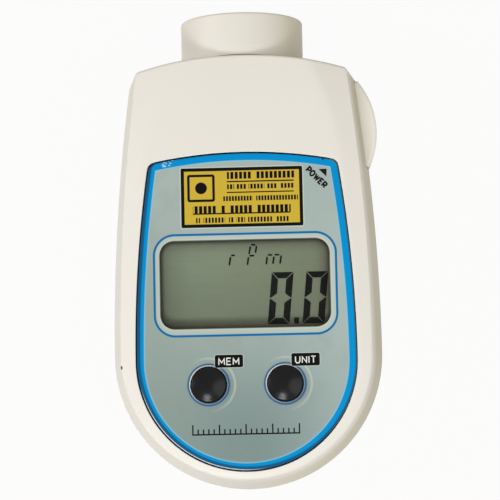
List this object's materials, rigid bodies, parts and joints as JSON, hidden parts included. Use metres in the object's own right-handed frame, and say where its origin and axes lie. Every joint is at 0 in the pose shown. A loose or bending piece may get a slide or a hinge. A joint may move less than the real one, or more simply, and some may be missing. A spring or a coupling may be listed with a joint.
{
  "type": "laser tachometer",
  "caption": "Hand-held laser tachometer: rounded case with a display and push buttons on its face, a power key on its side and a lens barrel at its end.",
  "frame": {"origin": "centre of the bounding box, on the flat of the back", "axes": "+Z out of the display face, +Y toward the lens barrel, +X to the power button's side"},
  "size_m": [0.0746, 0.1306, 0.0382],
  "materials": {
    "cream_abs": "fine satin texture",
    "panel_print": "satin printed overlay",
    "clear_acrylic": "clear, polished",
    "lcd_face": "grey-green display glass",
    "black_abs": "satin",
    "conductive_rubber": "matt",
    "lens_glass": "polished",
    "brass": "turned",
    "board_green": "solder mask",
    "zinc_steel": "zinc plated",
    "cell_wrap": "plain wrap"
  },
  "bodies": {
    "housing": {"front_shell": "cream_abs", "rear_shell": "cream_abs", "nose_barrel": "cream_abs", "front_panel": "panel_print", "display_window": "clear_acrylic", "nose_window": "clear_acrylic", "lcd_glass": "lcd_face", "lcd_frame": "black_abs", "connector_strip_upper": "conductive_rubber", "connector_strip_lower": "conductive_rubber", "mem_switch": "black_abs", "unit_switch": "black_abs", "power_switch": "black_abs", "processor": "black_abs", "quartz_crystal": "zinc_steel", "main_board": "board_green", "lens_carrier": "black_abs", "collecting_lens": "lens_glass", "laser_module": "brass", "sensor_board": "board_green", "photodiode": "zinc_steel", "case_screw_upper_left": "zinc_steel", "case_screw_upper_right": "zinc_steel", "case_screw_lower_left": "zinc_steel", "case_screw_lower_right": "zinc_steel", "board_screw_upper_left": "zinc_steel", "board_screw_upper_right": "zinc_steel", "board_screw_lower_left": "zinc_steel", "board_screw_lower_right": "zinc_steel", "battery_left": "cell_wrap", "battery_right": "cell_wrap", "contact_minus_left": "zinc_steel", "contact_plus_left": "zinc_steel", "contact_minus_right": "zinc_steel", "contact_plus_right": "zinc_steel", "battery_spring_left": "zinc_steel", "battery_spring_right": "zinc_steel"},
    "mem_button": {"mem_button": "black_abs"},
    "unit_button": {"unit_button": "black_abs"},
    "power_button": {"power_button": "cream_abs"},
    "battery_door": {"battery_door": "cream_abs"}
  },
  "joints": [
    {"name": "mem_button_press", "type": "slide", "parent": "housing", "child": "mem_button", "axis": [0, 0, -1], "range_m": [0, 0.0008], "stiffness_N_per_m": 800},
    {"name": "unit_button_press", "type": "slide", "parent": "housing", "child": "unit_button", "axis": [0, 0, -1], "range_m": [0, 0.0008], "stiffness_N_per_m": 800},
    {"name": "power_button_press", "type": "slide", "parent": "housing", "child": "power_button", "axis": [-0.9933, -0.1154, 0], "range_m": [0, 0.002], "stiffness_N_per_m": 600},
    {"name": "battery_door_slide", "type": "slide", "parent": "housing", "child": "battery_door", "axis": [0, -1, 0], "range_m": [0, 0.008]}
  ]
}
